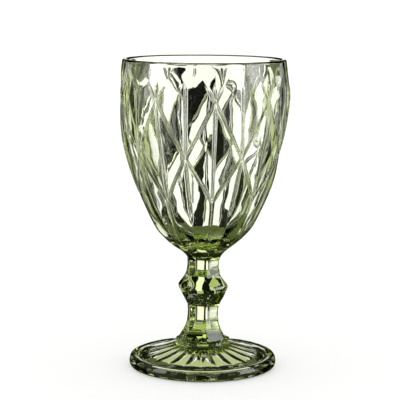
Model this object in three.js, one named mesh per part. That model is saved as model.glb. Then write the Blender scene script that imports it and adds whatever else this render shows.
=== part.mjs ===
// Pressed glass goblet with a diamond-relief bowl, a six-sided stem with a knop, and a round foot.
// Units are millimetres, +Z is up, the origin is the centre of the plane the foot rests on.
// Angles are measured from -Y (the front) towards +X.
import * as THREE from "three";

// ---- driving dimensions -------------------------------------------------------------------
const DEG = Math.PI / 180;

// The relief: nine diamonds round the bowl, in rows half a diamond apart.
const DIAMONDS = 9;
const FRONT_NODE_ANGLE = 7.2;               // where the front rib crossing sits, degrees
const HALF_PITCH = 180 / DIAMONDS;          // half a diamond, degrees
const ROW_HEIGHTS = [92.8, 116.6, 145.2];   // heights of the three rows of rib crossings
const RELIEF_TOP = 161.0;                   // the relief ends here, under the plain lip band
const RELIEF_TOP_ROW = 2.56;                // the same height counted in rows
const RELIEF_FADE = [149.0, 161.4];         // the panels flatten out between these heights
const RIB_FADE_TOP = [147.0, 155.0];        // the ribs die out between these heights
const PANEL_SINK = [1.4, 2.25, 2.2, 0.5];   // depth of the panel centres, one per row of diamonds
const RIB_SAG = 2.6;                        // how far ribs bow inwards between crossings (x4)
const RIB_RISE = 0.45;                      // height of the thin ribs over the panels
const RIB_SHARE = 0.035;                    // half the rib width as a share of the diamond side

// Outer profile of the bowl over the rib crossings, [height, radius].
const BOWL_OUTSIDE = [
  [59.0, 9.9], [60.5, 10.7], [62.6, 12.6], [65.0, 15.6], [68.0, 19.2], [71.0, 22.2], [75.0, 25.4],
  [80.0, 28.2], [85.0, 30.6], [92.8, 34.1], [100.0, 37.3], [106.0, 39.4], [112.0, 41.0],
  [118.0, 42.5], [124.0, 43.7], [130.0, 44.5], [136.0, 44.9], [142.0, 45.1], [148.0, 45.1],
  [154.0, 44.7], [159.0, 44.0], [161.0, 43.7], [163.0, 43.4],
];
// Inner profile of the bowl, from the bottom of the hollow to the lip.
const BOWL_INSIDE = [
  [67.9, 0.0], [68.1, 4.5], [68.8, 9.0], [70.2, 13.4], [72.4, 17.2], [75.6, 20.7], [80.5, 24.4],
  [86.5, 27.6], [93.5, 30.4], [101.0, 33.3], [109.0, 36.0], [118.0, 38.3], [128.0, 39.9],
  [138.0, 40.5], [150.0, 40.6], [163.2, 40.6],
];
// Rounded lip between the two profiles, [height, radius].
const LIP = [[163.4, 43.4], [164.5, 43.0], [165.0, 42.0], [164.5, 41.0], [163.2, 40.6]];

// Under the lowest crossings the ribs run straight down. Depth of the valleys between them and
// the extra hollowing of the panels beside them, [height, depth].
const LOWER_SINK = [[59.0, 0.0], [62.0, 0.2], [66.0, 1.1], [71.0, 1.75], [78.0, 1.75], [86.0, 1.45], [92.8, 1.25]];
const LOWER_SAG = [[59.0, 0.0], [64.0, 0.2], [72.0, 0.9], [82.0, 1.8], [92.8, 2.6]];
const LOWER_LEVELS = [88.0, 83.0, 78.0, 74.0, 70.5, 67.5, 65.0, 63.0, 61.0, 59.0];
const RIB_FADE_LOW = [66.0, 76.0];          // heights between which the straight ribs appear

// Corner radius of the six-sided stem, [height, radius].
const STEM_SIDES = 6;
const STEM_CORNERS = [
  [14.6, 14.1], [16.0, 13.3], [17.4, 12.4], [18.9, 11.5], [21.5, 10.2], [24.2, 9.4], [27.0, 9.05],
  [29.4, 8.95], [32.0, 9.2], [34.0, 9.9], [35.4, 10.7], [37.2, 11.8], [39.4, 13.1], [41.4, 14.3],
  [42.6, 14.8], [43.6, 14.9], [44.6, 14.5], [45.8, 13.4], [47.2, 12.1], [48.8, 10.9], [50.2, 10.1],
  [52.2, 9.7], [54.6, 9.35], [56.8, 9.3], [59.0, 9.9], [62.6, 12.6], [67.0, 18.0],
];
const CORNER_ROUNDING = 0.972;              // share of the corner radius that a rounded corner keeps
const WAIST_ROUNDING = 0.92;                // the same at the waist of the knop
const WAIST_HEIGHT = 43.2;
const WAIST_REACH = [1.5, 6.0];             // the rounder corners fade out between these distances
const HEX_BLEND_END = 66.0;                 // the stem's flats have died out here

// Joints between the pieces: flat planes at these heights.
const FOOT_TOP = 14.6;
const LOWER_STEM_TOP = 35.4;
const KNOP_TOP = 50.2;
const UPPER_STEM_TOP = 59.0;

// Foot: a low collar under the stem, a hollow slope, a thick round edge. [radius, height].
const FOOT_OUTSIDE = [
  [14.35, 14.6], [14.35, 13.2], [14.9, 12.3], [17.5, 11.0], [21.5, 9.5], [26.5, 7.9],
  [31.5, 6.6], [34.9, 5.85], [35.6, 5.9], [36.6, 6.25], [37.8, 6.2], [38.6, 5.65],
  [39.15, 4.8], [39.42, 3.7], [39.5, 2.8], [39.4, 1.7], [39.0, 0.8], [38.3, 0.2], [37.4, 0.0],
];
const REST_RING_INNER = 35.0;               // the flat ring the glass stands on starts here
const FOOT_UNDERSIDE = [
  [34.6, 0.25], [33.5, 0.95], [32.0, 1.95], [30.5, 2.9], [29.0, 3.7], [27.0, 4.35], [22.0, 5.5],
  [16.0, 7.0], [9.0, 8.4],
];
const UNDERSIDE_CENTRE = 8.9;
const FLUTES = 20;
const FLUTE_DEPTH = 0.6;
const FLUTE_SPAN = [7.0, 14.0, 28.5, 31.5]; // radii where the flutes start, are full, fade and end
const FLUTE_ANGLE = -2.0;                   // a ridge between flutes sits at this angle, degrees

const GLASS_COLOUR = 0x8fa35a;

// ---- small helpers ------------------------------------------------------------------------
const lerp = (a, b, t) => a + (b - a) * t;

function smoothstep(from, to, x) {
  const t = Math.min(1, Math.max(0, (x - from) / (to - from)));
  return t * t * (3 - 2 * t);
}

// Monotone cubic curve through [x, y] points.
function curve(points) {
  const n = points.length;
  const xs = points.map((p) => p[0]);
  const ys = points.map((p) => p[1]);
  const gap = [];
  const slope = [];
  for (let i = 0; i < n - 1; i++) {
    gap.push(xs[i + 1] - xs[i]);
    slope.push((ys[i + 1] - ys[i]) / gap[i]);
  }
  const tangent = [slope[0]];
  for (let i = 1; i < n - 1; i++) {
    const turning = slope[i - 1] * slope[i] <= 0;
    const w1 = 2 * gap[i] + gap[i - 1];
    const w2 = gap[i] + 2 * gap[i - 1];
    tangent.push(turning ? 0 : (w1 + w2) / (w1 / slope[i - 1] + w2 / slope[i]));
  }
  tangent.push(slope[n - 2]);
  return (x) => {
    const at = Math.min(xs[n - 1], Math.max(xs[0], x));
    let i = 0;
    while (i < n - 2 && at > xs[i + 1]) i++;
    const t = (at - xs[i]) / gap[i];
    const t2 = t * t;
    const t3 = t2 * t;
    return ys[i] * (2 * t3 - 3 * t2 + 1) + tangent[i] * gap[i] * (t3 - 2 * t2 + t)
      + ys[i + 1] * (3 * t2 - 2 * t3) + tangent[i + 1] * gap[i] * (t3 - t2);
  };
}

const bowlOutside = curve(BOWL_OUTSIDE);
const lowerSink = curve(LOWER_SINK);
const lowerSag = curve(LOWER_SAG);
const stemCorner = curve(STEM_CORNERS);
const rowHeight = curve([
  [0, ROW_HEIGHTS[0]], [1, ROW_HEIGHTS[1]], [2, ROW_HEIGHTS[2]], [RELIEF_TOP_ROW, RELIEF_TOP],
]);

// A closed skin built from rings of points; rings are lists of {id, angle}.
class Skin {
  constructor() {
    this.points = [];
    this.faces = [];
  }

  point(angle, radius, z) {
    const a = angle * DEG;
    this.points.push(radius * Math.sin(a), -radius * Math.cos(a), z);
    return this.points.length / 3 - 1;
  }

  ring(angles, radiusAt, heightAt) {
    return angles.map((angle) => ({ id: this.point(angle, radiusAt(angle), heightAt(angle)), angle }));
  }

  // Joins two rings. On an outside wall the first ring is the upper one, on an inside wall the
  // lower one, so the faces look out of the solid. The rings may differ in their point counts.
  join(first, second) {
    let i = 0;
    let j = 0;
    const n = first.length;
    const m = second.length;
    const at = (ring, k) => ring[k % ring.length].angle + 360 * Math.floor(k / ring.length);
    while (i < n || j < m) {
      const a = first[i % n].id;
      const b = second[j % m].id;
      const stepFirst = j >= m || (i < n && at(first, i + 1) <= at(second, j + 1));
      if (stepFirst) {
        this.faces.push(a, b, first[(i + 1) % n].id);
        i++;
      } else {
        this.faces.push(a, b, second[(j + 1) % m].id);
        j++;
      }
    }
  }

  closeTop(ring, z) {
    const tip = this.point(0, 0, z);
    for (let i = 0; i < ring.length; i++) {
      this.faces.push(tip, ring[i].id, ring[(i + 1) % ring.length].id);
    }
  }

  closeBottom(ring, z) {
    const tip = this.point(0, 0, z);
    for (let i = 0; i < ring.length; i++) {
      this.faces.push(ring[i].id, tip, ring[(i + 1) % ring.length].id);
    }
  }

  geometry() {
    const geometry = new THREE.BufferGeometry();
    geometry.setAttribute("position", new THREE.Float32BufferAttribute(this.points, 3));
    geometry.setIndex(this.faces);
    geometry.computeVertexNormals();
    return geometry;
  }
}

function evenAngles(count, start = 0) {
  const angles = [];
  for (let i = 0; i < count; i++) angles.push(start + (360 * i) / count);
  return angles;
}

// ---- stem ---------------------------------------------------------------------------------
// Angles that catch each rounded corner and the flat between two corners.
function stemAngles() {
  const angles = [];
  for (let side = 0; side < STEM_SIDES; side++) {
    for (const offset of [0, 6, 11, 30, 49, 54]) {
      angles.push(FRONT_NODE_ANGLE + side * 60 + offset);
    }
  }
  return angles;
}

function stemRadius(angle, z) {
  const corner = stemCorner(z);
  const half = 180 / STEM_SIDES;
  const turn = (((angle - FRONT_NODE_ANGLE) % 60) + 60) % 60 - half;
  const flat = (corner * Math.cos(half * DEG)) / Math.cos(turn * DEG);
  const waist = 1 - smoothstep(WAIST_REACH[0], WAIST_REACH[1], Math.abs(z - WAIST_HEIGHT));
  return Math.min(flat, corner * lerp(CORNER_ROUNDING, WAIST_ROUNDING, waist));
}

function stemPiece(bottom, top) {
  const skin = new Skin();
  const heights = STEM_CORNERS.map((p) => p[0]).filter((z) => z > bottom + 0.3 && z < top - 0.3);
  const levels = [top, ...heights.reverse(), bottom];
  const rings = levels.map((z) => skin.ring(stemAngles(), (a) => stemRadius(a, z), () => z));
  skin.closeTop(rings[0], top);
  for (let i = 0; i + 1 < rings.length; i++) skin.join(rings[i], rings[i + 1]);
  skin.closeBottom(rings[rings.length - 1], bottom);
  return skin.geometry();
}

// ---- bowl ---------------------------------------------------------------------------------
// Places on the relief are given as p, half diamonds round the bowl from the front crossing, and
// q, rows upwards. Crossings sit where p + q is even, panel centres where it is odd.
function reliefDepth(p, q) {
  let best = { reach: Infinity };
  for (const row of [Math.floor(q), Math.floor(q) + 1]) {
    let column = Math.round(p);
    if ((column + row) % 2 === 0) column += p > column ? 1 : -1;
    const side = Math.abs(p - column);
    const rise = Math.abs(q - row);
    if (side + rise < best.reach) best = { side, rise, row, reach: side + rise };
  }
  const side = Math.min(1, best.side);
  const sink = PANEL_SINK[Math.min(best.row, PANEL_SINK.length - 1)];
  const inside = Math.max(0, (1 - side) ** 2 - best.rise ** 2);
  return sink * inside + RIB_SAG * side * (1 - side);
}

function reliefRadius(p, q, rib) {
  const z = rowHeight(q);
  const fade = 1 - smoothstep(RELIEF_FADE[0], RELIEF_FADE[1], z);
  const rise = RIB_RISE * (1 - smoothstep(RIB_FADE_TOP[0], RIB_FADE_TOP[1], z));
  return bowlOutside(z) - fade * (reliefDepth(p, q) - rib * rise);
}

function lowerRadius(angle, z) {
  const p = (angle - FRONT_NODE_ANGLE) / HALF_PITCH;
  const side = Math.abs(p - (2 * Math.floor(p / 2) + 1));
  const rib = side > 0.999 ? RIB_RISE * smoothstep(RIB_FADE_LOW[0], RIB_FADE_LOW[1], z) : 0;
  const depth = lowerSink(z) * (1 - side) ** 2 + lowerSag(z) * side * (1 - side);
  const round = bowlOutside(z) - depth + rib;
  return lerp(stemRadius(angle, z), round, smoothstep(UPPER_STEM_TOP, HEX_BLEND_END, z));
}

// Cuts a polygon of {p, q, rib} corners along a row line, keeping the side the sign points to.
function cutAtRow(corners, row, sign) {
  const kept = [];
  corners.forEach((here, i) => {
    const next = corners[(i + 1) % corners.length];
    const a = (here.q - row) * sign;
    const b = (next.q - row) * sign;
    if (a > -1e-9) kept.push(here);
    if ((a > 1e-9 && b < -1e-9) || (a < -1e-9 && b > 1e-9)) {
      const t = a / (a - b);
      kept.push({ p: lerp(here.p, next.p, t), q: row, rib: lerp(here.rib, next.rib, t) });
    }
  });
  return kept;
}

// One diamond as a grid that follows its own sides, split along its upright centre line.
function diamondFaces(uStart, vStart) {
  const steps = [0, RIB_SHARE, 0.15, 0.32, 0.5, 0.68, 0.85, 1 - RIB_SHARE, 1];
  const last = steps.length - 1;
  const corner = (i, j) => ({
    p: uStart + steps[i] + vStart + steps[j],
    q: uStart + steps[i] - vStart - steps[j],
    rib: i === 0 || j === 0 || i === last || j === last ? 1 : 0,
  });
  const faces = [];
  for (let i = 0; i < last; i++) {
    for (let j = 0; j < last; j++) {
      const west = corner(i, j);
      const north = corner(i + 1, j);
      const east = corner(i + 1, j + 1);
      const south = corner(i, j + 1);
      if (i + j === last - 1) faces.push([west, south, north], [south, east, north]);
      else faces.push([west, south, east], [west, east, north]);
    }
  }
  return faces;
}

// The relief from the lowest crossings up to the lip band. Returns its lowest and highest rings.
function addRelief(skin) {
  const known = new Map();
  const around = 2 * DIAMONDS;
  const place = ({ p, q, rib }) => {
    const turn = ((p % around) + around) % around;
    const wrapped = around - turn < 1e-6 ? 0 : turn;
    const key = `${wrapped.toFixed(5)} ${q.toFixed(5)}`;
    if (!known.has(key)) {
      const angle = FRONT_NODE_ANGLE + wrapped * HALF_PITCH;
      known.set(key, { id: skin.point(angle, reliefRadius(wrapped, q, rib), rowHeight(q)), angle, q });
    }
    return known.get(key).id;
  };
  for (let row = 0; row <= 3; row++) {
    for (let column = 0; column < DIAMONDS; column++) {
      const u = (row % 2 === 0 ? 0 : 1) + column + Math.floor(row / 2);
      const v = u - row;
      for (const face of diamondFaces(u, v)) {
        const cut = cutAtRow(cutAtRow(face, 0, 1), RELIEF_TOP_ROW, -1);
        for (let i = 1; i + 1 < cut.length; i++) {
          const ids = [place(cut[0]), place(cut[i]), place(cut[i + 1])];
          if (new Set(ids).size === 3) skin.faces.push(...ids);
        }
      }
    }
  }
  const ringAt = (row) => [...known.values()]
    .filter((point) => Math.abs(point.q - row) < 1e-6)
    .sort((a, b) => a.angle - b.angle);
  return { lowest: ringAt(0), highest: ringAt(RELIEF_TOP_ROW) };
}

function bowlPiece() {
  const skin = new Skin();
  const relief = addRelief(skin);
  const lowerAngles = relief.lowest.map((point) => point.angle);
  let ring = relief.lowest;
  for (const z of LOWER_LEVELS) {
    const next = skin.ring(lowerAngles, (a) => lowerRadius(a, z), () => z);
    skin.join(ring, next);
    ring = next;
  }
  skin.closeBottom(ring, UPPER_STEM_TOP);

  const lipAngles = evenAngles(72, FRONT_NODE_ANGLE);
  ring = relief.highest;
  for (const [z, radius] of LIP) {
    const next = skin.ring(lipAngles, () => radius, () => z);
    skin.join(next, ring);
    ring = next;
  }
  const insideAngles = evenAngles(48, FRONT_NODE_ANGLE);
  for (const [z, radius] of BOWL_INSIDE.slice(1, -1).reverse()) {
    const next = skin.ring(insideAngles, () => radius, () => z);
    skin.join(next, ring);
    ring = next;
  }
  skin.closeTop(ring, BOWL_INSIDE[0][0]);
  return skin.geometry();
}

// ---- foot ---------------------------------------------------------------------------------
function fluteRise(angle, radius) {
  const pitch = 360 / FLUTES;
  const turn = ((((angle - FLUTE_ANGLE) % pitch) + pitch) % pitch) / pitch;
  const [start, full, fade, end] = FLUTE_SPAN;
  const window = smoothstep(start, full, radius) * (1 - smoothstep(fade, end, radius));
  return FLUTE_DEPTH * Math.sin(Math.PI * turn) * window;
}

function footPiece() {
  const skin = new Skin();
  const topAngles = evenAngles(72, FRONT_NODE_ANGLE);
  const flutedAngles = evenAngles(4 * FLUTES, FLUTE_ANGLE);
  let ring = null;
  for (const [radius, z] of FOOT_OUTSIDE) {
    const next = skin.ring(topAngles, () => radius, () => z);
    if (ring) skin.join(ring, next);
    else skin.closeTop(next, z);
    ring = next;
  }
  for (const [radius, z] of [[REST_RING_INNER, 0], ...FOOT_UNDERSIDE]) {
    const next = skin.ring(flutedAngles, () => radius, (a) => z + fluteRise(a, radius));
    skin.join(ring, next);
    ring = next;
  }
  skin.closeBottom(ring, UNDERSIDE_CENTRE);
  return skin.geometry();
}

// ---- assembly -----------------------------------------------------------------------------
function glassMesh(name, geometry) {
  const material = new THREE.MeshStandardMaterial({ color: GLASS_COLOUR, roughness: 0.05, metalness: 0 });
  material.name = `${name}_glass`;
  const mesh = new THREE.Mesh(geometry, material);
  mesh.name = name;
  return mesh;
}

const goblet = new THREE.Group();
goblet.name = "goblet";
goblet.add(glassMesh("foot", footPiece()));
goblet.add(glassMesh("lower_stem", stemPiece(FOOT_TOP, LOWER_STEM_TOP)));
goblet.add(glassMesh("knop", stemPiece(LOWER_STEM_TOP, KNOP_TOP)));
goblet.add(glassMesh("upper_stem", stemPiece(KNOP_TOP, UPPER_STEM_TOP)));
goblet.add(glassMesh("bowl", bowlPiece()));

export default goblet;
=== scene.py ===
"""Looks of the pressed green glass goblet: glass, floor, studio light and camera.

Lengths in the shape functions are millimetres and become metres when a mesh is made.
Angles round the glass are degrees from -Y (the front) towards +X.
"""

import bpy
import math
import numpy as np
from mathutils import Matrix


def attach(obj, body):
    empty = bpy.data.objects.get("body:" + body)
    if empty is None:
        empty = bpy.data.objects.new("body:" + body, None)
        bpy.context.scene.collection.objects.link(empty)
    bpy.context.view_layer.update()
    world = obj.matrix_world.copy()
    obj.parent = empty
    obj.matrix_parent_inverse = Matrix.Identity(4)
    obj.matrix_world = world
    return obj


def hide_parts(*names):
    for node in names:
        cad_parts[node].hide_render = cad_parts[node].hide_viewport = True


MM = 0.001

# ---- relief -------------------------------------------------------------------------------
DIAMONDS = 9
FRONT_ANGLE = 7.2                       # where the front rib crossing sits
HALF_PITCH = 180.0 / DIAMONDS
ROW_HEIGHTS = (92.8, 116.6, 145.2)
RELIEF_TOP = 161.0
TOP_ROW = 2.56                          # RELIEF_TOP counted in rows
PANEL_SINK = (1.4, 2.25, 2.2, 0.5)
RIB_SAG = 2.6
RIB_RISE = 0.45
RIB_HALF_WIDTH = 0.95
ROW_RISE = 26.5                         # mm from row to row, for the width of a slanted rib
RELIEF_FADE = (149.0, 161.4)            # the panels flatten out between these heights
RIB_FADE_TOP = (147.0, 155.0)           # the ribs die out between these heights
RIB_FADE_LOW = (66.0, 76.0)             # and the straight ribs appear between these

# ---- profiles, (height, radius) -------------------------------------------------------------
BOWL_OUTSIDE = (
    (59.0, 9.9), (60.5, 10.7), (62.6, 12.6), (65.0, 15.6), (68.0, 19.2), (71.0, 22.2), (75.0, 25.4),
    (80.0, 28.2), (85.0, 30.6), (92.8, 34.1), (100.0, 37.3), (106.0, 39.4), (112.0, 41.0),
    (118.0, 42.5), (124.0, 43.7), (130.0, 44.5), (136.0, 44.9), (142.0, 45.1), (148.0, 45.1),
    (154.0, 44.7), (159.0, 44.0), (161.0, 43.7), (163.0, 43.4),
)
BOWL_INSIDE = (
    (67.9, 0.0), (68.1, 4.5), (68.8, 9.0), (70.2, 13.4), (72.4, 17.2), (75.6, 20.7), (80.5, 24.4),
    (86.5, 27.6), (93.5, 30.4), (101.0, 33.3), (109.0, 36.0), (118.0, 38.3), (128.0, 39.9),
    (138.0, 40.5), (150.0, 40.6), (163.2, 40.6),
)
LOWER_SINK = (
    (59.0, 0.0), (62.0, 0.2), (66.0, 1.1), (71.0, 1.75), (78.0, 1.75), (86.0, 1.45), (92.8, 1.25),
)
LOWER_SAG = ((59.0, 0.0), (64.0, 0.2), (72.0, 0.9), (82.0, 1.8), (92.8, 2.6))
STEM_CORNERS = (
    (14.6, 14.1), (16.0, 13.3), (17.4, 12.4), (18.9, 11.5), (21.5, 10.2), (24.2, 9.4), (27.0, 9.05),
    (29.4, 8.95), (32.0, 9.2), (34.0, 9.9), (35.4, 10.7), (37.2, 11.8), (39.4, 13.1), (41.4, 14.3),
    (42.6, 14.8), (43.6, 14.9), (44.6, 14.5), (45.8, 13.4), (47.2, 12.1), (48.8, 10.9), (50.2, 10.1),
    (52.2, 9.7), (54.6, 9.35), (56.8, 9.3), (59.0, 9.9), (62.6, 12.6), (67.0, 18.0),
)
CORNER_ROUNDING = 0.972                 # share of the corner radius that a rounded corner keeps
WAIST_ROUNDING = 0.92                   # the same at the waist of the knop
WAIST_HEIGHT = 43.2
SOFTNESS = 0.012                        # how gently a flat side runs into its corner
WAIST_REACH = (1.5, 6.0)                # the rounder corners fade out over these distances from it
HEX_END = 66.0
STEM_BOTTOM = 14.6
BOWL_START = 59.0
CREASE_SPAN = (78.0, 92.0)              # the creases between the straight ribs appear here

# ---- lip and hollow ---------------------------------------------------------------------------
LIP_CENTRE = (42.0, 163.5)              # radius and height of the middle of the rounded lip
LIP_HALF_WIDTH = 1.4
LIP_RISE = 1.5
LIP_COLUMNS = 180
LIP_STEPS = 13
BAND_HEIGHTS = (161.6, 162.3, 163.0)
HOLLOW_BOTTOM = 67.9
HOLLOW_RISE = 0.7                       # how far the bottom of the hollow curves up
HOLLOW_SHARES = (0.85, 0.7, 0.5, 0.3, 0.12)

# ---- foot, (radius, height) -------------------------------------------------------------------
FOOT_OUTSIDE = (
    (14.35, 14.6), (14.35, 13.2), (14.9, 12.3), (17.5, 11.0), (21.5, 9.5), (26.5, 7.9),
    (31.5, 6.6), (34.9, 5.85), (35.6, 5.9), (36.6, 6.25), (37.8, 6.2), (38.6, 5.65),
    (39.15, 4.8), (39.42, 3.7), (39.5, 2.8), (39.4, 1.7), (39.0, 0.8), (38.3, 0.2), (37.4, 0.0),
)
REST_RING_INNER = 35.0
FOOT_UNDERSIDE = (
    (34.6, 0.25), (33.5, 0.95), (32.0, 1.95), (30.5, 2.9), (29.0, 3.7), (27.0, 4.35), (22.0, 5.5),
    (16.0, 7.0), (9.0, 8.4), (0.5, 8.9),
)
UNDERSIDE_CENTRE = 8.9                  # height of the middle of the underside
FLUTES = 20
FLUTE_DEPTH = 0.6
FLUTE_COLUMNS = 10                      # mesh columns in each flute
FLUTE_SPAN = (7.0, 14.0, 28.5, 31.5)    # radii where the flutes start, are full, fade and end
FLUTE_ANGLE = -2.0

# ---- unevenness of the fire-polished skin: wave vectors in radians per mm, and a phase ---------
WAVES = (
    (0.41, 0.22, 0.37, 0.4), (-0.33, 0.52, 0.18, 1.9), (0.15, -0.44, 0.55, 3.3),
    (-0.61, -0.27, 0.24, 5.1), (0.28, 0.68, -0.46, 2.6),
)
WAVE_HEIGHT = 0.010                     # mm, of each wave


def smoothstep(start, end, x):
    t = np.clip((np.asarray(x, float) - start) / (end - start), 0, 1)
    return t * t * (3 - 2 * t)


def curve(points):
    """Monotone cubic through (x, y) points, as a function of an array."""
    xs = np.array([p[0] for p in points], float)
    ys = np.array([p[1] for p in points], float)
    gap = np.diff(xs)
    slope = np.diff(ys) / gap
    tangent = np.zeros(len(xs))
    tangent[0] = slope[0]
    tangent[-1] = slope[-1]
    for i in range(1, len(xs) - 1):
        if slope[i - 1] * slope[i] > 0:
            w1 = 2 * gap[i] + gap[i - 1]
            w2 = gap[i] + 2 * gap[i - 1]
            tangent[i] = (w1 + w2) / (w1 / slope[i - 1] + w2 / slope[i])

    def value(x):
        x = np.clip(np.asarray(x, float), xs[0], xs[-1])
        i = np.clip(np.searchsorted(xs, x, side="right") - 1, 0, len(xs) - 2)
        t = (x - xs[i]) / gap[i]
        t2 = t * t
        t3 = t2 * t
        low = ys[i] * (2 * t3 - 3 * t2 + 1) + tangent[i] * gap[i] * (t3 - 2 * t2 + t)
        high = ys[i + 1] * (3 * t2 - 2 * t3) + tangent[i + 1] * gap[i] * (t3 - t2)
        return low + high

    return value


bowl_outside = curve(BOWL_OUTSIDE)
bowl_inside = curve(BOWL_INSIDE)
lower_sink = curve(LOWER_SINK)
lower_sag = curve(LOWER_SAG)
stem_corner = curve(STEM_CORNERS)
row_height = curve([*enumerate(ROW_HEIGHTS), (TOP_ROW, RELIEF_TOP)])


# ---- shape of the outside -----------------------------------------------------------------
def rib_bump(distance):
    """Height of a rounded rib at a distance in mm from its centre line."""
    t = np.clip(1 - (distance / RIB_HALF_WIDTH) ** 2, 0, 1)
    return RIB_RISE * t * t


def relief_radius(p, q):
    """Radius on the diamonds. p counts half diamonds round the bowl, q counts rows upwards."""
    p = np.asarray(p, float)
    q = np.asarray(q, float)
    z = row_height(q)
    reach = np.full(p.shape, 9.0)
    side = np.zeros(p.shape)
    rise = np.zeros(p.shape)
    sink = np.zeros(p.shape)
    for row in range(4):
        column = 2 * np.round((p - (row + 1) % 2) / 2) + (row + 1) % 2
        a = np.abs(p - column)
        b = np.abs(q - row)
        nearer = a + b < reach
        reach = np.where(nearer, a + b, reach)
        side = np.where(nearer, a, side)
        rise = np.where(nearer, b, rise)
        sink = np.where(nearer, PANEL_SINK[row], sink)
    side = np.clip(side, 0, 1)
    inside = np.clip((1 - side) ** 2 - rise ** 2, 0, None)
    depth = sink * inside + RIB_SAG * side * (1 - side)
    across = bowl_outside(z) * math.radians(HALF_PITCH)
    u = (p + q) / 2
    v = (p - q) / 2
    spacing = 2 * across * ROW_RISE / np.sqrt(across ** 2 + ROW_RISE ** 2)
    slanted = np.minimum(np.abs(u - np.round(u)), np.abs(v - np.round(v))) * spacing
    bump = np.maximum(rib_bump(slanted), rib_bump(side * across))
    fade = 1 - smoothstep(*RELIEF_FADE, z)
    bump = bump * (1 - smoothstep(*RIB_FADE_TOP, z))
    return bowl_outside(z) - fade * (depth - bump)


def stem_radius(p, z):
    """Radius of the six-sided stem; its corners lie three half diamonds apart."""
    corner = stem_corner(z)
    turn = np.mod(p * HALF_PITCH, 60.0) - 30.0
    flat = corner * math.cos(math.radians(30)) / np.cos(np.radians(turn))
    waist = 1 - smoothstep(*WAIST_REACH, np.abs(z - WAIST_HEIGHT))
    limit = corner * (CORNER_ROUNDING + (WAIST_ROUNDING - CORNER_ROUNDING) * waist)
    soft = SOFTNESS * corner
    return -soft * np.log(np.exp(-flat / soft) + np.exp(-limit / soft)) + soft * 0.35


def lower_radius(p, z):
    """Radius under the lowest crossings, where the ribs run straight down to the stem."""
    side = np.abs(p - (2 * np.floor(p / 2) + 1))
    across = bowl_outside(z) * math.radians(HALF_PITCH)
    rib = rib_bump((1 - side) * across) * smoothstep(*RIB_FADE_LOW, z)
    crease = rib_bump(side * across) * smoothstep(*CREASE_SPAN, z)
    depth = lower_sink(z) * (1 - side) ** 2 + lower_sag(z) * side * (1 - side)
    whole = bowl_outside(z) - depth + np.maximum(rib, crease)
    blend = smoothstep(BOWL_START, HEX_END, z)
    return stem_radius(p, z) * (1 - blend) + whole * blend


# ---- mesh building ------------------------------------------------------------------------
class Skin:
    """Collects points and faces. Rings are arrays of point numbers with their places p round."""

    def __init__(self):
        self.points = []
        self.faces = []

    def add(self, p, radius, z):
        """Adds points and returns their numbers. p, radius and z are arrays of one length."""
        angle = np.radians(FRONT_ANGLE + np.asarray(p, float) * HALF_PITCH)
        start = len(self.points)
        z = np.broadcast_to(z, angle.shape)
        radius = np.broadcast_to(radius, angle.shape)
        rows = np.stack([radius * np.sin(angle), -radius * np.cos(angle), z], axis=1)
        self.points.extend(map(tuple, rows))
        return list(range(start, len(self.points)))

    def ring(self, p, radius, z):
        return self.add(p, radius, z), list(p)

    def join(self, first, second):
        """Joins an upper ring to a lower one on an outside wall; lower to upper on an inside."""
        ids_a, p_a = first
        ids_b, p_b = second
        n = len(ids_a)
        m = len(ids_b)
        if n == m and np.allclose(p_a, p_b):
            for i in range(n):
                j = (i + 1) % n
                self.faces.append((ids_a[i], ids_b[i], ids_b[j], ids_a[j]))
            return
        full = 2 * DIAMONDS
        i = 0
        j = 0
        while i < n or j < m:
            next_a = p_a[(i + 1) % n] + full * ((i + 1) // n)
            next_b = p_b[(j + 1) % m] + full * ((j + 1) // m)
            a = ids_a[i % n]
            b = ids_b[j % m]
            if j >= m or (i < n and next_a <= next_b):
                self.faces.append((a, b, ids_a[(i + 1) % n]))
                i += 1
            else:
                self.faces.append((a, b, ids_b[(j + 1) % m]))
                j += 1

    def close_top(self, ring, z):
        tip = self.add([0.0], [0.0], [z])[0]
        ids = ring[0]
        for i in range(len(ids)):
            self.faces.append((tip, ids[i], ids[(i + 1) % len(ids)]))

    def close_bottom(self, ring, z):
        tip = self.add([0.0], [0.0], [z])[0]
        ids = ring[0]
        for i in range(len(ids)):
            self.faces.append((ids[i], tip, ids[(i + 1) % len(ids)]))

    def mesh(self, name, material):
        data = bpy.data.meshes.new(name)
        data.from_pydata([(x * MM, y * MM, z * MM) for x, y, z in self.points], [], self.faces)
        data.validate()
        data.update()
        data.polygons.foreach_set("use_smooth", [True] * len(data.polygons))
        polish(data)
        data.materials.append(material)
        obj = bpy.data.objects.new(name, data)
        bpy.context.scene.collection.objects.link(obj)
        return obj


def polish(data):
    """Presses slow waves into the skin along its normals, never outwards."""
    count = len(data.vertices)
    place = np.empty(count * 3)
    normal = np.empty(count * 3)
    data.vertices.foreach_get("co", place)
    data.vertices.foreach_get("normal", normal)
    place = place.reshape(-1, 3)
    normal = normal.reshape(-1, 3)
    waves = np.array(WAVES)
    swell = np.sin(place / MM @ waves[:, :3].T + waves[:, 3]).sum(axis=1)
    depth = WAVE_HEIGHT * (len(WAVES) - swell) * smoothstep(0.2, 1.5, place[:, 2] / MM)
    place -= normal * depth[:, None] * MM
    data.vertices.foreach_set("co", place.ravel())
    data.update()


# Places between two crossings or creases, crowded where the ribs stand.
HALF_STEPS = (0, 0.018, 0.036, 0.055, 0.08, 0.13, 0.23, 0.36)
COLUMN_STEPS = HALF_STEPS + (0.5,) + tuple(1 - step for step in reversed(HALF_STEPS[1:]))
SHELLS = (1.0, 0.984, 0.966, 0.946, 0.922, 0.895, 0.865, 0.82, 0.75, 0.64, 0.48, 0.3, 0.13)
EDGE_STEP = 1.7                         # mm between points along a panel's edge
HALF_WIDTH_MM = 15.0                    # rough width of half a diamond
ROW_MM = 27.0                           # and the rough height of a row


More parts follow.
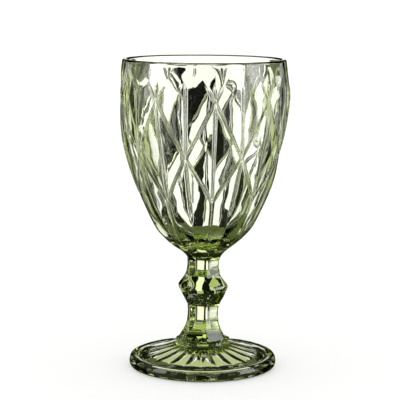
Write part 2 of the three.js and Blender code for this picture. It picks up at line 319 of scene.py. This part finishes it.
def columns():
    return np.array([half + step for half in range(2 * DIAMONDS) for step in COLUMN_STEPS])


def edge_points(a, b):
    """Places along an edge of a panel, from a up to but not including b."""
    (pa, qa), (pb, qb) = a, b
    shares = COLUMN_STEPS
    if qa != 0 or qb != 0:
        length = math.hypot((pb - pa) * HALF_WIDTH_MM, (qb - qa) * ROW_MM)
        count = max(6, round(length / EDGE_STEP))
        shares = np.arange(count) / count
    return [(pa + (pb - pa) * t, qa + (qb - qa) * t) for t in shares]


def panel_corners():
    """Corner lists of every half diamond in p and q, anticlockwise seen from outside."""
    panels = []
    top = TOP_ROW
    for i in range(DIAMONDS):
        odd = 2 * i + 1
        even = 2 * i
        panels.append([(odd, 0), (odd + 1, 0), (odd, 1)])
        panels.append([(odd, 0), (odd, 1), (odd - 1, 0)])
        panels.append([(even, 0), (even + 1, 1), (even, 2)])
        panels.append([(even, 0), (even, 2), (even - 1, 1)])
        cut = 3 - top
        panels.append([(odd, 1), (odd + 1, 2), (odd + cut, top), (odd, top)])
        panels.append([(odd, 1), (odd, top), (odd - cut, top), (odd - 1, 2)])
        flare = top - 2
        panels.append([(even, 2), (even + flare, top), (even, top)])
        panels.append([(even, 2), (even, top), (even - flare, top)])
    return panels


def add_relief(skin):
    """Adds the diamonds; returns the rings along their lowest and highest rows."""
    known = {}
    full = 2 * DIAMONDS

    def place(p, q):
        p = p % full
        if full - p < 1e-6:
            p = 0.0
        key = (round(p, 5), round(q, 5))
        if key not in known:
            radius = relief_radius(np.array([p]), np.array([q]))
            known[key] = skin.add([p], radius, row_height(np.array([q])))[0]
        return known[key]

    for corners in panel_corners():
        outline = []
        for i, corner in enumerate(corners):
            outline.extend(edge_points(corner, corners[(i + 1) % len(corners)]))
        centre = np.mean(np.array(corners, float), axis=0)
        outline = np.array(outline, float)
        ring = [place(p, q) for p, q in outline]
        n = len(ring)
        for share in SHELLS[1:]:
            inner = centre + (outline - centre) * share
            ids = skin.add(inner[:, 0], relief_radius(inner[:, 0], inner[:, 1]), row_height(inner[:, 1]))
            for k in range(n):
                j = (k + 1) % n
                skin.faces.append((ring[k], ring[j], ids[j], ids[k]))
            ring = ids
        tip = skin.add([centre[0]], relief_radius(centre[:1], centre[1:]), row_height(centre[1:]))[0]
        for k in range(n):
            skin.faces.append((ring[k], ring[(k + 1) % n], tip))

    def ring_at(row):
        found = sorted((key[0], number) for key, number in known.items() if abs(key[1] - row) < 1e-4)
        return [number for _, number in found], [p for p, _ in found]

    return ring_at(0.0), ring_at(TOP_ROW)


def stack(skin, ring, p, profile, inside=False):
    """Adds a ring for each (radius, height) in profile, joined one after the other."""
    for radius, z in profile:
        following = skin.ring(p, radius, z)
        if inside:
            skin.join(following, ring)
        else:
            skin.join(ring, following)
        ring = following
    return ring


def lip_profile():
    """The plain band above the relief, then half an ellipse over the lip."""
    band = [(float(bowl_outside(z)), z) for z in BAND_HEIGHTS]
    turn = np.radians(np.linspace(0, 180, LIP_STEPS))
    centre, height = LIP_CENTRE
    return band + [(centre + LIP_HALF_WIDTH * math.cos(t), height + LIP_RISE * math.sin(t)) for t in turn]


def hollow_profile():
    """The inner wall, from the lip down, and the shallow dish at the bottom of the hollow."""
    depths = np.concatenate([np.linspace(163.0, 90.0, 34), np.linspace(88.5, 68.6, 22)])
    profile = [(float(bowl_inside(z)), z) for z in depths]
    last = profile[-1][0]
    for share in HOLLOW_SHARES:
        radius = last * share
        profile.append((radius, HOLLOW_BOTTOM + HOLLOW_RISE * (radius / last) ** 2))
    return profile


def add_hollow(skin, ring):
    """Lip and inside of the bowl, from the highest ring of the relief."""
    p = np.arange(0, 2 * DIAMONDS, 2 * DIAMONDS / LIP_COLUMNS)
    ring = stack(skin, ring, p, lip_profile(), inside=True)
    ring = stack(skin, ring, p, hollow_profile(), inside=True)
    skin.close_top(ring, HOLLOW_BOTTOM)


def add_stem(skin, ring):
    """Straight ribs, stem and knop, from the lowest ring of the relief; returns the last ring."""
    p = columns()
    heights = np.concatenate([
        np.linspace(91.6, 66.0, 21), np.linspace(65.0, 50.7, 17), np.linspace(50.0, 35.0, 30),
        np.linspace(34.0, 15.2, 19), [STEM_BOTTOM],
    ])
    for z in heights:
        level = np.full(p.shape, z)
        shape = lower_radius if z > BOWL_START else stem_radius
        following = skin.ring(p, shape(p, level), z)
        skin.join(ring, following)
        ring = following
    return ring


def add_foot(skin, ring):
    """Top and edge of the foot, then the fluted underside."""
    step = 360 / (FLUTES * FLUTE_COLUMNS)
    turn = np.arange(FLUTES * FLUTE_COLUMNS) * step
    p = (turn + (FLUTE_ANGLE - FRONT_ANGLE) % step) / HALF_PITCH
    ring = stack(skin, ring, p, fine_profile(FOOT_OUTSIDE, 2))
    angle = FRONT_ANGLE + p * HALF_PITCH
    ripple = np.abs(np.sin(np.radians((angle - FLUTE_ANGLE) * FLUTES / 2)))
    for radius, z in fine_profile(((REST_RING_INNER, 0.0),) + FOOT_UNDERSIDE, 3):
        window = smoothstep(*FLUTE_SPAN[:2], radius) * (1 - smoothstep(*FLUTE_SPAN[2:], radius))
        following = skin.ring(p, np.full(p.shape, radius), z + FLUTE_DEPTH * ripple * window)
        skin.join(ring, following)
        ring = following
    skin.close_bottom(ring, UNDERSIDE_CENTRE)


def build_glass(material):
    """The whole glass as one closed skin."""
    skin = Skin()
    lowest, highest = add_relief(skin)
    add_hollow(skin, highest)
    add_foot(skin, add_stem(skin, lowest))
    return skin.mesh("goblet_glass", material)


def fine_profile(points, cuts):
    """Rounds a profile of (radius, height) points by a smooth curve through them."""
    pts = np.array(points, float)
    steps = np.concatenate([[0], np.cumsum(np.hypot(*np.diff(pts, axis=0).T))])
    radius = curve(list(zip(steps, pts[:, 0])))
    height = curve(list(zip(steps, pts[:, 1])))
    where = []
    for a, b in zip(steps[:-1], steps[1:]):
        where.extend(np.linspace(a, b, cuts + 1)[:-1])
    where.append(steps[-1])
    return list(zip(radius(where), height(where)))


# ---- materials ----------------------------------------------------------------------------
GLASS_IOR = 1.52
GLASS_TINT = (0.78, 0.87, 0.36)         # what is left of each colour, see GLASS_DENSITY
GLASS_DENSITY = 50.0                    # per metre
DULL_SCALE = 60.0                       # patches about 15 mm across
DULL_MOST = 0.03                        # roughness of the dullest spots
RIPPLE_SCALE = 230.0                    # ripples about 4 mm across
RIPPLE_DEPTH = 0.00012                  # metres
RIPPLE_STRENGTH = 0.06


def add_noise(tree, scale, detail, low, high):
    """A noise in the object's own metres, stretched to run from low to high."""
    place = tree.nodes.new("ShaderNodeTexCoord")
    noise = tree.nodes.new("ShaderNodeTexNoise")
    noise.inputs["Scale"].default_value = scale
    noise.inputs["Detail"].default_value = detail
    span = tree.nodes.new("ShaderNodeMapRange")
    span.inputs["From Min"].default_value = 0.35
    span.inputs["From Max"].default_value = 0.75
    span.inputs["To Min"].default_value = low
    span.inputs["To Max"].default_value = high
    tree.links.new(place.outputs["Object"], noise.inputs["Vector"])
    tree.links.new(noise.outputs["Fac"], span.inputs["Value"])
    return span.outputs["Result"]


def glass_material(name):
    """Body-tinted glass. The pressed skin is faintly rippled, with duller patches from handling."""
    material = bpy.data.materials.new(name)
    material.use_nodes = True
    tree = material.node_tree
    tree.nodes.clear()
    out = tree.nodes.new("ShaderNodeOutputMaterial")
    shader = tree.nodes.new("ShaderNodeBsdfPrincipled")
    shader.inputs["Base Color"].default_value = (1, 1, 1, 1)
    shader.inputs["IOR"].default_value = GLASS_IOR
    shader.inputs["Transmission Weight"].default_value = 1.0
    tree.links.new(add_noise(tree, DULL_SCALE, 3.0, 0.0, DULL_MOST), shader.inputs["Roughness"])
    bump = tree.nodes.new("ShaderNodeBump")
    bump.inputs["Strength"].default_value = RIPPLE_STRENGTH
    bump.inputs["Distance"].default_value = RIPPLE_DEPTH
    tree.links.new(add_noise(tree, RIPPLE_SCALE, 1.0, 0.0, 1.0), bump.inputs["Height"])
    tree.links.new(bump.outputs["Normal"], shader.inputs["Normal"])
    absorb = tree.nodes.new("ShaderNodeVolumeAbsorption")
    absorb.inputs["Color"].default_value = (*GLASS_TINT, 1)
    absorb.inputs["Density"].default_value = GLASS_DENSITY
    tree.links.new(shader.outputs["BSDF"], out.inputs["Surface"])
    tree.links.new(absorb.outputs["Volume"], out.inputs["Volume"])
    return material


def plain_material(name, colour, emission):
    material = bpy.data.materials.new(name)
    material.use_nodes = True
    shader = material.node_tree.nodes["Principled BSDF"]
    shader.inputs["Base Color"].default_value = (*colour, 1)
    shader.inputs["Roughness"].default_value = 0.8
    shader.inputs["Emission Color"].default_value = (*colour, 1)
    shader.inputs["Emission Strength"].default_value = emission
    return material


# ---- studio -------------------------------------------------------------------------------
TENT_RADIUS = 3.0
TENT_HEIGHT = 0.1                       # the tent is centred on the middle of the glass
SAGE = (0.58, 0.66, 0.33)
BLACK = (0.006, 0.006, 0.006)
WHITE = (1.0, 1.0, 1.0)
# painted shadow of the glass on the table, as glowing patches seen only through the glass: olive under
# the middle of the foot, near black at the front and round the edge
OLIVE_PAINTED_SHADOW = (0.58, 0.65, 0.31)
DARK_PAINTED_SHADOW = (0.012, 0.015, 0.008)
OLIVE_REACH = (0.025, 0.019)            # half width and half depth of the olive patch of painted shadow
OLIVE_SHIFT = 0.001                     # towards the back
DARK_EDGE = -0.018                      # the dark patch fills the ring up to here
DARK_RING = (0.034, 0.075)
RING_STEP = 5                           # degrees between points of the ring and the oval
RING_OPENING = (4, 31)                  # steps between which the ring is open, at the back
OLIVE_LEVEL = -0.0004                   # metres, the patches lie just under the floor's top
RING_LEVEL = -0.0006
FRONT_LEVEL = -0.0008
FRONT_POINTS = 40

WINDOW_STEP = 45                        # degrees between windows
WINDOW_HALF = 6
WINDOW_LEVELS = (-26, 7)
WINDOW_GLOW = 0.85
BACK_WINDOW_GLOW = 1.25
FLAG_REACH = 12                         # degrees from the middle of a window
BACK_FLAG_REACH = 24
FLAG_LEVELS = (-40, 60)
BOTTOM_COLOUR = (0.11, 0.14, 0.048)
TOP_COLOUR = (0.02, 0.024, 0.016)
SHELL_OUT = 0.4                         # metres outside the tent's radius
FLAG_OUT = 0.2
CAP_OUT = 0.1
CAMERA_FLAG_IN = 0.1                    # metres inside it
SOFTBOX_IN = 0.2

FLOOR_HALF = 40.0
FLOOR_LEVEL = -0.0002
FLOOR_COLOUR = (0.8, 0.8, 0.8)
FLOOR_GLOW = 0.35

CAMERA_LENS = 137.3
CAMERA_PLACE = (-0.00186, -0.8052, 0.208)
CAMERA_TILT = 8.357                     # degrees below the level
CAMERA_ROLL = 0.35
BOUNCES = 24


def only_for_glass(obj):
    """The object is seen in and through the glass, but not by the camera or by the floor."""
    obj.visible_camera = False
    obj.visible_diffuse = False
    obj.visible_shadow = False
    obj.visible_volume_scatter = False


def glow_material(name, strength, colour=(1, 1, 1)):
    material = bpy.data.materials.new(name)
    material.use_nodes = True
    tree = material.node_tree
    tree.nodes.clear()
    out = tree.nodes.new("ShaderNodeOutputMaterial")
    glow = tree.nodes.new("ShaderNodeEmission")
    glow.inputs["Color"].default_value = (*colour, 1)
    glow.inputs["Strength"].default_value = strength
    tree.links.new(glow.outputs["Emission"], out.inputs["Surface"])
    return material


def add_card(name, azimuths, elevations, strength, colour=WHITE, radius=TENT_RADIUS):
    """A curved panel of the tent. Azimuth 0 is behind the glass, positive to the right."""
    across = np.radians(np.linspace(*azimuths, 25))
    up = np.radians(np.linspace(*elevations, 13))
    points = []
    for e in up:
        for a in across:
            flat = radius * math.cos(e)
            points.append((flat * math.sin(a), flat * math.cos(a), TENT_HEIGHT + radius * math.sin(e)))
    faces = []
    for row in range(len(up) - 1):
        for column in range(len(across) - 1):
            k = row * len(across) + column
            faces.append((k, k + 1, k + len(across) + 1, k + len(across)))
    data = bpy.data.meshes.new(name)
    data.from_pydata(points, [], faces)
    data.materials.append(glow_material(name, strength, colour))
    obj = bpy.data.objects.new(name, data)
    bpy.context.scene.collection.objects.link(obj)
    only_for_glass(obj)
    return obj


def add_tent():
    """A sage tent with bright windows and black flags all round, which the glass refracts."""
    add_card("tent_all_round", (-180, 180), (-90, 90), 1.0, SAGE, TENT_RADIUS + SHELL_OUT)
    for turn in range(-180, 180, WINDOW_STEP):
        glow = WINDOW_GLOW
        reach = FLAG_REACH
        if turn == 0:
            glow = BACK_WINDOW_GLOW
            reach = BACK_FLAG_REACH
        add_card(f"window_{turn % 360}", (turn - WINDOW_HALF, turn + WINDOW_HALF), WINDOW_LEVELS, glow)
        for side, (start, end) in (("left", (-reach, -WINDOW_HALF)), ("right", (WINDOW_HALF, reach))):
            name = f"flag_{side}_{turn % 360}"
            add_card(name, (turn + start, turn + end), FLAG_LEVELS, 1.0, BLACK, TENT_RADIUS + FLAG_OUT)
    add_card("tent_bottom", (-180, 180), (-90, -26), 1.0, BOTTOM_COLOUR, TENT_RADIUS + CAP_OUT)
    add_card("tent_top", (-180, 180), (12, 90), 1.0, TOP_COLOUR, TENT_RADIUS + CAP_OUT)
    add_card("flag_camera", (146, 214), (-26, 20), 1.0, BLACK, TENT_RADIUS - CAMERA_FLAG_IN)
    add_card("softbox_right", (92, 120), (-24, 35), 5.0, radius=TENT_RADIUS - SOFTBOX_IN)
    add_card("softbox_left", (-120, -98), (-6, 35), 3.5, radius=TENT_RADIUS - SOFTBOX_IN)


def add_patch(name, points, faces, colour, level):
    """A flat glowing patch of painted shadow on the table, seen only through the glass."""
    data = bpy.data.meshes.new(name)
    data.from_pydata([(x, y, level) for x, y in points], [], faces)
    data.materials.append(glow_material(name, 1.0, colour))
    obj = bpy.data.objects.new(name, data)
    bpy.context.scene.collection.objects.link(obj)
    only_for_glass(obj)


def add_painted_table_shadow():
    """Painted shadow of the glass on the table under the foot: olive in the middle, dark at the front and
    round most of the edge.
    """
    turn = np.radians(np.arange(0, 360, RING_STEP))
    count = len(turn)
    wide, deep = OLIVE_REACH
    oval = [(wide * math.cos(t), OLIVE_SHIFT + deep * math.sin(t)) for t in turn]
    add_patch("painted_shadow_olive", oval, [tuple(range(count))], OLIVE_PAINTED_SHADOW, OLIVE_LEVEL)
    inner, outer = DARK_RING
    ring = [(r * math.cos(t), r * math.sin(t)) for r in (inner, outer) for t in turn]
    first, last = RING_OPENING
    faces = [(i, (i + 1) % count, count + (i + 1) % count, count + i) for i in range(count)
             if not first < i < last]
    add_patch("painted_shadow_ring", ring, faces, DARK_PAINTED_SHADOW, RING_LEVEL)
    middle = (inner + outer) / 2
    reach = math.acos(-DARK_EDGE / middle)
    sweep = np.linspace(-reach, reach, FRONT_POINTS)
    segment = [(middle * math.sin(t), -middle * math.cos(t)) for t in sweep]
    add_patch("painted_shadow_front", segment, [tuple(range(len(segment)))], DARK_PAINTED_SHADOW, FRONT_LEVEL)


def add_floor():
    data = bpy.data.meshes.new("floor")
    s = FLOOR_HALF
    data.from_pydata([(-s, -s, 0), (s, -s, 0), (s, s, 0), (-s, s, 0)], [], [(0, 1, 2, 3)])
    data.materials.append(plain_material("floor_white", FLOOR_COLOUR, FLOOR_GLOW))
    obj = bpy.data.objects.new("floor", data)
    obj.location.z = FLOOR_LEVEL
    obj.visible_transmission = False
    obj.visible_glossy = False
    bpy.context.scene.collection.objects.link(obj)


def add_world():
    world = bpy.data.worlds.new("studio")
    bpy.context.scene.world = world
    world.use_nodes = True
    tree = world.node_tree
    back = tree.nodes["Background"]
    back.inputs["Color"].default_value = (1, 1, 1, 1)
    back.inputs["Strength"].default_value = 1.0


def add_camera():
    data = bpy.data.cameras.new("camera")
    data.sensor_width = 36.0
    data.lens = CAMERA_LENS
    data.clip_start = 0.01
    obj = bpy.data.objects.new("camera", data)
    tilt = Matrix.Rotation(math.radians(90 - CAMERA_TILT), 4, "X")
    roll = Matrix.Rotation(math.radians(CAMERA_ROLL), 4, "Z")
    obj.matrix_world = Matrix.Translation(CAMERA_PLACE) @ (tilt @ roll)
    bpy.context.scene.collection.objects.link(obj)
    bpy.context.scene.camera = obj


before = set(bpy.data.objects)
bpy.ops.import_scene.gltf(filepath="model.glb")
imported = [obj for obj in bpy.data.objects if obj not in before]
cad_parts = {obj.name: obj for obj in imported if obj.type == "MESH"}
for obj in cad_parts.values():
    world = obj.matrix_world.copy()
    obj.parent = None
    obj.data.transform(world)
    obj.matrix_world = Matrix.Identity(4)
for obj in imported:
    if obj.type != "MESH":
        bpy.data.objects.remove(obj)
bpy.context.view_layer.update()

glass = build_glass(glass_material("green_glass"))
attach(glass, "root")
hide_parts("bowl", "upper_stem", "knop", "lower_stem", "foot")

add_floor()
add_tent()
add_painted_table_shadow()
add_world()
add_camera()
scene = bpy.context.scene
scene.view_settings.view_transform = "Standard"
scene.cycles.max_bounces = BOUNCES
scene.cycles.transmission_bounces = BOUNCES
scene.cycles.transparent_max_bounces = BOUNCES
